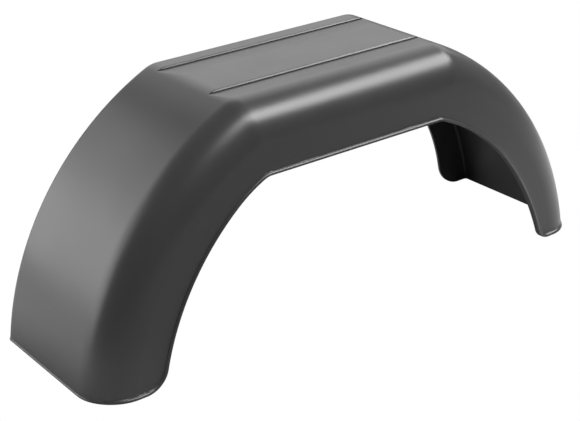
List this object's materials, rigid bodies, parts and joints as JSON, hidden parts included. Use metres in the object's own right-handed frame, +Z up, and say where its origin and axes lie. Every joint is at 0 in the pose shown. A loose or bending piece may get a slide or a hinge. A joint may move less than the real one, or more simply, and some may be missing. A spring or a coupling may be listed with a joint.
{
  "type": "trailer mudguard",
  "caption": "One-piece moulded plastic mudguard for one trailer wheel: flat top with two long steps, bent legs with a curved tread, round shoulder, arched walls and a rim.",
  "frame": {"origin": "on the ground under the middle of the guard, at the middle of its length and of its whole width", "axes": "+X along the guard, +Y across it from the outer wall to the inner wall at the trailer, +Z up to the flat top"},
  "size_m": [0.7618, 0.224, 0.3],
  "materials": {
    "moulded_plastic": "satin"
  },
  "bodies": {
    "root": {"mudguard_shell": "moulded_plastic"}
  },
  "joints": []
}
